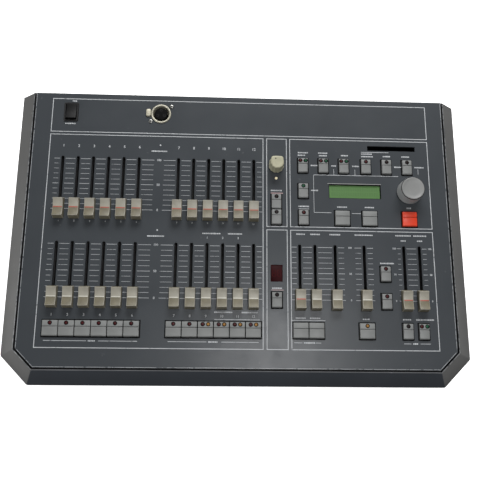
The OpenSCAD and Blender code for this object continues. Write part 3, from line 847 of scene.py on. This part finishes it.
def build_lcd():
    """Liquid crystal display: two rows of cells behind its window, a case, and a bezel, with a
    painted highlight above the window's rear edge and painted shadow inside its rear and right
    edges.
    """
    at = middle(islands("lcd_module")[0])
    spot, w, h = (at.x, at.y), 61, 17
    face, back, case_back = -1.5, -6, -13.9

    def ring(grow, r, z, n=3):
        return round_rect(w + grow, h + grow, r, z, spot, n)

    screen = Shape()
    screen.loft([ring(10, 1, back, 5), ring(10, 1, -2.05, 5)])
    screen.loft([ring(-1.2, 0.3, -2.2), ring(-1.2, 0.3, face)])
    screen.mat = 1
    for row in (-1, 1):
        for i in range(20):
            screen.block((at.x + (i - 9.5) * 2.75, at.y + row * 2.9), (2.2, 4.3),
                         face, face + 0.03)
    screen.done("lcd_screen", "desk", ["lcd", "pixels"],
                replaces=["lcd_module"])
    case = Shape()
    case.loft([round_rect(84, 34, 2, z, spot) for z in (case_back, back)])
    case.done("lcd_case", "desk", ["black"], width=0.4)
    rim = Shape()
    rim.tube([ring(-0.02, 0.3, -2.0), ring(-0.02, 0.3, -0.05), ring(-0.6, 0.3, -0.05),
              ring(-1.6, 0.3, face), ring(-1.6, 0.3, -2.0)])
    # painted highlight: a light line along the window's rear edge
    rim.mat = 1
    rim.block((at.x - 0.4, at.y + h / 2 + 0.7), (w + 2, 0.8), 0.005, 0.1)
    # painted shadow: dark strips inside the window's rear and right edges
    rim.mat = 0
    rim.block((at.x, at.y + h / 2 - 0.35), (w - 0.1, 1.1), -1.4, 0.03)
    rim.block((at.x + w / 2 - 0.3, at.y), (0.9, h - 0.1), -1.4, 0.03)
    rim.done("lcd_bezel_with_painted_light", "desk", ["core", "frame"])


def build_digit_window():
    """Dark red window with the unlit segments of two figures."""
    window = node_box("digit_display")
    at, size, face = middle(window), window[1] - window[0], window[1].z
    spot = (at.x, at.y)
    shape = Shape()
    shape.loft([round_rect(size.x, size.y, 0.6, window[0].z, spot),
                round_rect(size.x, size.y, 0.6, face - 0.3, spot),
                round_rect(size.x - 0.6, size.y - 0.6, 0.5, face, spot)])
    shape.mat = 1
    for figure_x in (at.x - 2.9, at.x + 2.9):
        for dy in (-3.6, 0, 3.6):
            shape.block((figure_x, at.y + dy), (3, 0.7), face, face + 0.02)
        for dx in (-1.8, 1.8):
            for dy in (-1.8, 1.8):
                shape.block((figure_x + dx, at.y + dy), (0.7, 2.8), face, face + 0.02)
    shape.done("digit_window", "desk", ["red_window", "segment"],
               replaces=["digit_display"])


def build_lamp_led():
    """Domed indicator in front of the small knob."""
    at, r, rim = (41.3, 217.4), 1.55, 0.2
    shape = Shape()
    shape.loft([circle(r, -6, 24, at), circle(r, rim, 24, at)]
               + [circle(r * math.cos(t), rim + 1.2 * math.sin(t), 24, at)
                  for t in (0.3, 0.6, 0.9, 1.2, 1.45)])
    shape.done("lamp_led", "desk", ["led_white"])


# --------------------------------------------------------------------------------- print

LINE = 0.8           # width of a frame's line
INK_LOW, INK = 0.005, 0.08
TICK_CLEAR = 3.8     # from a fader's middle to its ticks
STEPS = 10           # ticks over a fader's travel
LEFT, RIGHT, TOP, BOTTOM = -221.5, 221.5, 310.7, 21
TOP_ROW_Y, MIDDLE_Y = 269.5, 159.5
GAP = 3.5            # between the top row's frame and those below it
WORDS = (            # words of the panel, area by area: from x, to x, and y
    (-43, -22, 150), (-14, 2, 150), (-28, -8, 61), (2, 21, 61), (-104, -86, 247.5),
    (-105, -85, 146), (-164, -156, 28.5), (-34, -23, 28.5), (71, 83, 28.5), (192, 198, 28.5),
    (67, 79, 249.6), (91, 103, 249.6), (118, 127, 247), (142, 156, 249.6), (168, 177, 247),
    (190, 200, 247), (67, 76, 246.4), (92, 102, 246.4), (142, 156, 246.4),
    (82, 90, 234), (106, 113, 234), (131, 139, 234), (181, 189, 234), (205, 217, 234),
    (82, 90, 203.5), (67, 79, 184), (112, 124, 184), (144, 155, 184), (193, 199, 184),
    (35, 48, 202.5), (36, 47, 88.5), (64, 74, 151), (80, 91, 151), (102, 115, 151),
    (131, 152, 151), (178, 196, 151), (199, 215, 151), (184, 190, 145), (203, 209, 145),
    (159, 175, 118.5), (62, 73, 55.5), (78, 90, 55.5), (137, 145, 55), (182, 192, 55),
    (197, 217, 55), (-199, -194, 308), (-206, -194, 279.6),
)
RULES = (            # thin lines across the panel: from x, to x, and y
    (-212, -166, 28.5), (-153, -111, 28.5), (-78, -36, 28.5), (-20, 21, 28.5), (60, 70, 28.5),
    (84, 90, 28.5), (182, 190, 28.5), (200, 212, 28.5), (-28, 22, 53), (58, 95, 53),
    (142, 175, 251.8), (85, 185, 222.5), (85, 105, 177), (67, 79, 181), (129, 139, 176.5),
)
POSTS = ((85, 177, 222), (109, 223, 230), (134, 223, 230), (209, 225, 232))    # x, y to y


def build_print():
    """White print on the panel: frames, scales, figures, and plain dashes for its words."""
    ink = Shape()
    slots = {n: middle(islands(n)[0]) for n in nodes if "_fader_" in n}

    def bar(x0, x1, y, width=LINE):
        ink.block(((x0 + x1) / 2, y), (x1 - x0, width), INK_LOW, INK)

    def post(x, y0, y1, width=LINE):
        ink.block((x, (y0 + y1) / 2), (width, y1 - y0), INK_LOW, INK)

    def frame_lines(x0, x1, y0, y1):
        for y in (y0, y1):
            bar(x0 - LINE / 2, x1 + LINE / 2, y)
        for x in (x0, x1):
            post(x, y0 + LINE / 2, y1 - LINE / 2)

    def word(x0, x1, y):
        """A row of short dashes where the panel has a word."""
        x, high = x0, 1.7
        while x < x1 - 0.8:
            w = min(random.uniform(0.9, 1.9), x1 - x)
            ink.block((x + w / 2, y), (w, high * random.uniform(0.75, 1.0)), INK_LOW, INK)
            x += w + 0.4

    def ticks(x0, x1, y):
        """Scale lines over the travel, longer and thicker at both ends and half way."""
        for k in range(STEPS + 1):
            grow, width = (1.2, 0.5) if k in (0, STEPS / 2, STEPS) else (0, 0.38)
            ink.block(((x0 + x1) / 2, y + k * TRAVEL / STEPS), (x1 - x0 + grow, width),
                      INK_LOW, INK)

    def ticks_between(spots, reach):
        """Ticks between neighbouring faders that are less than reach apart."""
        for a, b in zip(spots, spots[1:]):
            if b.x - a.x < reach:
                ticks(a.x + TICK_CLEAR, b.x - TICK_CLEAR, a.y)

    def scale_figures(x, y, size):
        for k, figures in enumerate(("0", "50", "100")):
            ink.text(figures, (x, y + k * TRAVEL / 2), size)

    frame_lines(LEFT, RIGHT, TOP_ROW_Y, TOP)
    frame_lines(LEFT, 26, BOTTOM, TOP_ROW_Y - GAP)
    for x0, x1 in ((30.3, 53.5), (57.5, RIGHT)):
        frame_lines(x0, x1, MIDDLE_Y, TOP_ROW_Y - GAP)
        frame_lines(x0, x1, BOTTOM, MIDDLE_Y - 4)

    ink.mat = 1
    for bank in ("preset", "memory"):
        spots = [slots[f"{bank}_fader_{i}"] for i in range(1, 13)]
        y = spots[0].y
        ticks(LEFT + 7, spots[0].x - TICK_CLEAR, y)
        ticks_between(spots, 20)
        ticks(spots[5].x + TICK_CLEAR, -101, y)
        ticks(-89, spots[6].x - TICK_CLEAR, y)
        ticks(spots[11].x + TICK_CLEAR, 24.3, y)
    spots = [slots[f"master_fader_{i}"] for i in range(1, 7)]
    y = spots[0].y
    ticks(58.8, spots[0].x - TICK_CLEAR, y)
    ticks_between(spots, 25)
    ticks(spots[2].x + TICK_CLEAR, 118, y)
    ticks(131, spots[3].x - TICK_CLEAR, y)
    ticks(spots[3].x + TICK_CLEAR, 151, y)
    ticks(180, spots[4].x - TICK_CLEAR, y)
    ticks(spots[5].x + TICK_CLEAR, 213, y)

    ink.mat = 0
    for bank in ("preset", "memory"):
        scale_figures(-95, slots[bank + "_fader_1"].y, 3.6)
    for x in (125, 176, 217):
        scale_figures(x, y, 2.9)
    for i in range(1, 13):
        spot = slots[f"preset_fader_{i}"]
        ink.text(str(i), (spot.x, 252), 4.4)
        ink.text(str(i), (spot.x, 56.5), 4)
        ink.text(str(i), (spot.x, slots["preset_fader_1"].y - 14.4), 2.4)
    for i, figures in ((9, "1"), (10, "2"), (11, "3")):
        ink.text(figures, (slots[f"memory_fader_{i}"].x, 145), 3.4)
    for x0, x1, y in WORDS:
        word(x0, x1, y)
    for x0, x1, y in RULES:
        bar(x0, x1, y, 0.55)
    for x, y0, y1 in POSTS:
        post(x, y0, y1, 0.45)
    for y in (255, 153):
        ink.loft([circle(0.9, z, 16, (-94, y)) for z in (INK_LOW, INK)])
    ink.mat = 2
    bar(35, 49, 199.3, 1.0)
    bar(35, 49, 86.5, 0.7)
    ink.done("panel_print", "desk", ["print", "tick", "print_rose"])


# ------------------------------------------------------------------- rear, base and feet

def build_rear():
    """Two data sockets and the mains inlet in the rear wall."""
    low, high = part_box("dmx_sockets")
    lift = (low.z + high.z) / 2 / MM
    rear = Matrix.Rotation(math.radians(-90), 4, "X")
    for i, box in enumerate(islands("dmx_sockets")):
        name = f"dmx_socket_{i + 1}"
        place = WORLD @ Matrix.Translation((middle(box).x, REAR_Y, lift)) @ rear
        build_socket(name, [] if i else ["dmx_sockets"], place, (0, 0), 1.5, 5, (0, 1.1))
        head = Shape(place)
        for s in (-1, 1):
            screw_head(head, (s * 12, s * 9.5), 2.1, 1.5, 0.9)
        head.done(name + "_screws", "desk", ["screw", "black"])

    low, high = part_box("mains_inlet")
    place = WORLD @ Matrix.Translation(
        ((low.x + high.x) / 2 / MM, REAR_Y, (low.z + high.z) / 2 / MM)) @ rear
    w, h = (high.x - low.x) / MM, (high.z - low.z) / MM
    well_w, well_h, floor = 24.4, 16.6, -14.5
    shape = Shape(place)
    shape.loft([round_rect(w, h, 3, 0), round_rect(w, h, 3, 1.0),
                round_rect(w - 1, h - 1, 2.6, 1.5),
                round_rect(well_w + 1.4, well_h + 1.4, 3.4, 1.5),
                round_rect(well_w, well_h, 3, 0.9), round_rect(well_w, well_h, 3, floor)])
    shape.done("mains_inlet_body", "desk", ["black"], replaces=["mains_inlet"])
    pins = Shape(place)
    for spot in ((-7, 1), (7, 1), (0, -3)):
        pins.loft([round_rect(2, 4, 0.5, floor, spot), round_rect(2, 4, 0.5, -2.6, spot),
                   round_rect(1.3, 3.2, 0.4, -2.0, spot)])
    pins.done("mains_inlet_pins", "desk", ["brass"])


def build_feet():
    """Turned rubber feet with a rounded lip and a sunk centre."""
    shape = Shape(WORLD)
    world = WORLD.inverted() @ PANEL
    for box in islands("rubber_feet"):
        at = world @ middle(box)
        spot, r = (at.x, at.y), 10
        shape.loft([circle(r - 0.2, FOOT_H, 40, spot), circle(r, FOOT_H - 0.4, 40, spot),
                    circle(r - 0.3, 1.2, 40, spot), circle(r - 0.8, 0.3, 40, spot),
                    circle(r - 1.6, 0, 40, spot), circle(4.2, 0, 40, spot),
                    circle(3.8, 0.4, 40, spot), circle(3.6, 2.4, 40, spot)])
    shape.done("rubber_feet_turned", "desk", ["rubber"], replaces=["rubber_feet"])


def build_screws():
    """Base screws and the lamp socket's screws, with cross recesses."""
    under = Shape(WORLD @ Matrix.Translation((0, 0, FOOT_H)) @ Matrix.Rotation(math.pi, 4, "X"))
    top = Shape()
    world = WORLD.inverted() @ PANEL
    for box in islands("screws"):
        at = middle(box)
        if box[1].z > 0:
            screw_head(top, (at.x, at.y), 2.4, 1, 0)
        elif (world @ box[0]).z < FOOT_H:
            spot = world @ at
            screw_head(under, (spot.x, -spot.y), 3, 1.9, 0)
    under.done("base_screws", "desk", ["screw", "black"], replaces=["screws"])
    top.done("socket_screws", "desk", ["screw", "black"])


# ----------------------------------------------------------------------------- assembly

def build_all():
    build_housing()
    build_panel_edge()
    build_all_keys()
    build_faders()
    build_slot_edges()
    build_dial()
    build_speed_knob()
    build_switch()
    socket = node_box("lamp_socket")
    at = middle(socket)
    build_socket("lamp_socket", ["lamp_socket"], PANEL, (at.x, at.y), socket[1].z, 3)
    build_lcd()
    build_digit_window()
    build_latch()
    build_lamp_led()
    build_print()
    build_rear()
    build_feet()
    build_screws()
    for node, mat in (("front_panel", "panel"), ("rear_wall", "panel"), ("base_plate", "base"),
                      ("circuit_board", "laminate"), ("fader_tracks", "track"),
                      ("control_bodies", "black"), ("card_reader", "core"),
                      ("power_transformer", "iron")):
        dress(node, mat)


build_all()


# --------------------------------------------------------------- floor, lights and camera

def build_floor():
    half = 4.0
    mesh = bpy.data.meshes.new("floor")
    mesh.from_pydata([(-half, -half, 0), (half, -half, 0), (half, half, 0), (-half, half, 0)],
                     [], [(0, 1, 2, 3)])
    mesh.materials.append(surface("floor_white", (0.92, 0.92, 0.92), 0.9, vary=0.01, patch=3,
                                  bump=0.0, emission_color=(1, 1, 1, 1), emission_strength=1.0))
    floor = bpy.data.objects.new("floor", mesh)
    bpy.context.scene.collection.objects.link(floor)
    floor.visible_diffuse = floor.visible_glossy = False


def area(name, at, aim, size, power):
    """A soft rectangular light at a point, turned to another."""
    data = bpy.data.lights.new(name, "AREA")
    data.shape, data.size, data.size_y = "RECTANGLE", size[0], size[1]
    data.energy = power
    light = bpy.data.objects.new(name, data)
    light.location = at
    light.rotation_euler = (Vector(aim) - Vector(at)).to_track_quat("-Z", "Y").to_euler()
    bpy.context.scene.collection.objects.link(light)


def build_lights():
    """A large key light from behind, low fills at both sides, and a glint; in metres."""
    aim = (0, 0, 0.07)
    area("key", (0.25, 1.68, 1.65), aim, (1.6, 0.9), 42.5)
    area("left", (-1.2, -0.35, 0.26), aim, (1.2, 0.35), 4.6)
    area("right", (1.25, -0.45, 0.24), aim, (1.2, 0.35), 1.0)
    area("glint", PANEL_M @ Vector((0.17, 0.05, 1.4)), PANEL_M @ Vector((0.06, 0.03, 0)),
         (0.26, 0.16), 6)
    world = bpy.data.worlds.new("world")
    world.use_nodes = True
    background = world.node_tree.nodes["Background"]
    background.inputs["Color"].default_value = (1, 1, 1, 1)
    background.inputs["Strength"].default_value = 0.075
    bpy.context.scene.world = world


def build_camera():
    """The photographer's view, from over the front of the desk."""
    data = bpy.data.cameras.new("camera")
    data.lens, data.sensor_width = 45.19, 36
    camera = bpy.data.objects.new("camera", data)
    roll, yaw, pitch = -0.0163, 0.0397, -0.2222      # radians, from square to the panel
    turn = (Matrix.Rotation(roll, 3, "Z") @ Matrix.Rotation(yaw, 3, "Y")
            @ Matrix.Rotation(pitch, 3, "X"))
    spot = Vector((-26.3, -9.1, 668.2)) * MM
    camera.matrix_world = PANEL_M @ Matrix.Translation(spot) @ turn.transposed().to_4x4()
    bpy.context.scene.collection.objects.link(camera)
    bpy.context.scene.camera = camera


build_floor()
build_lights()
build_camera()
bpy.context.scene.view_settings.view_transform = "Standard"
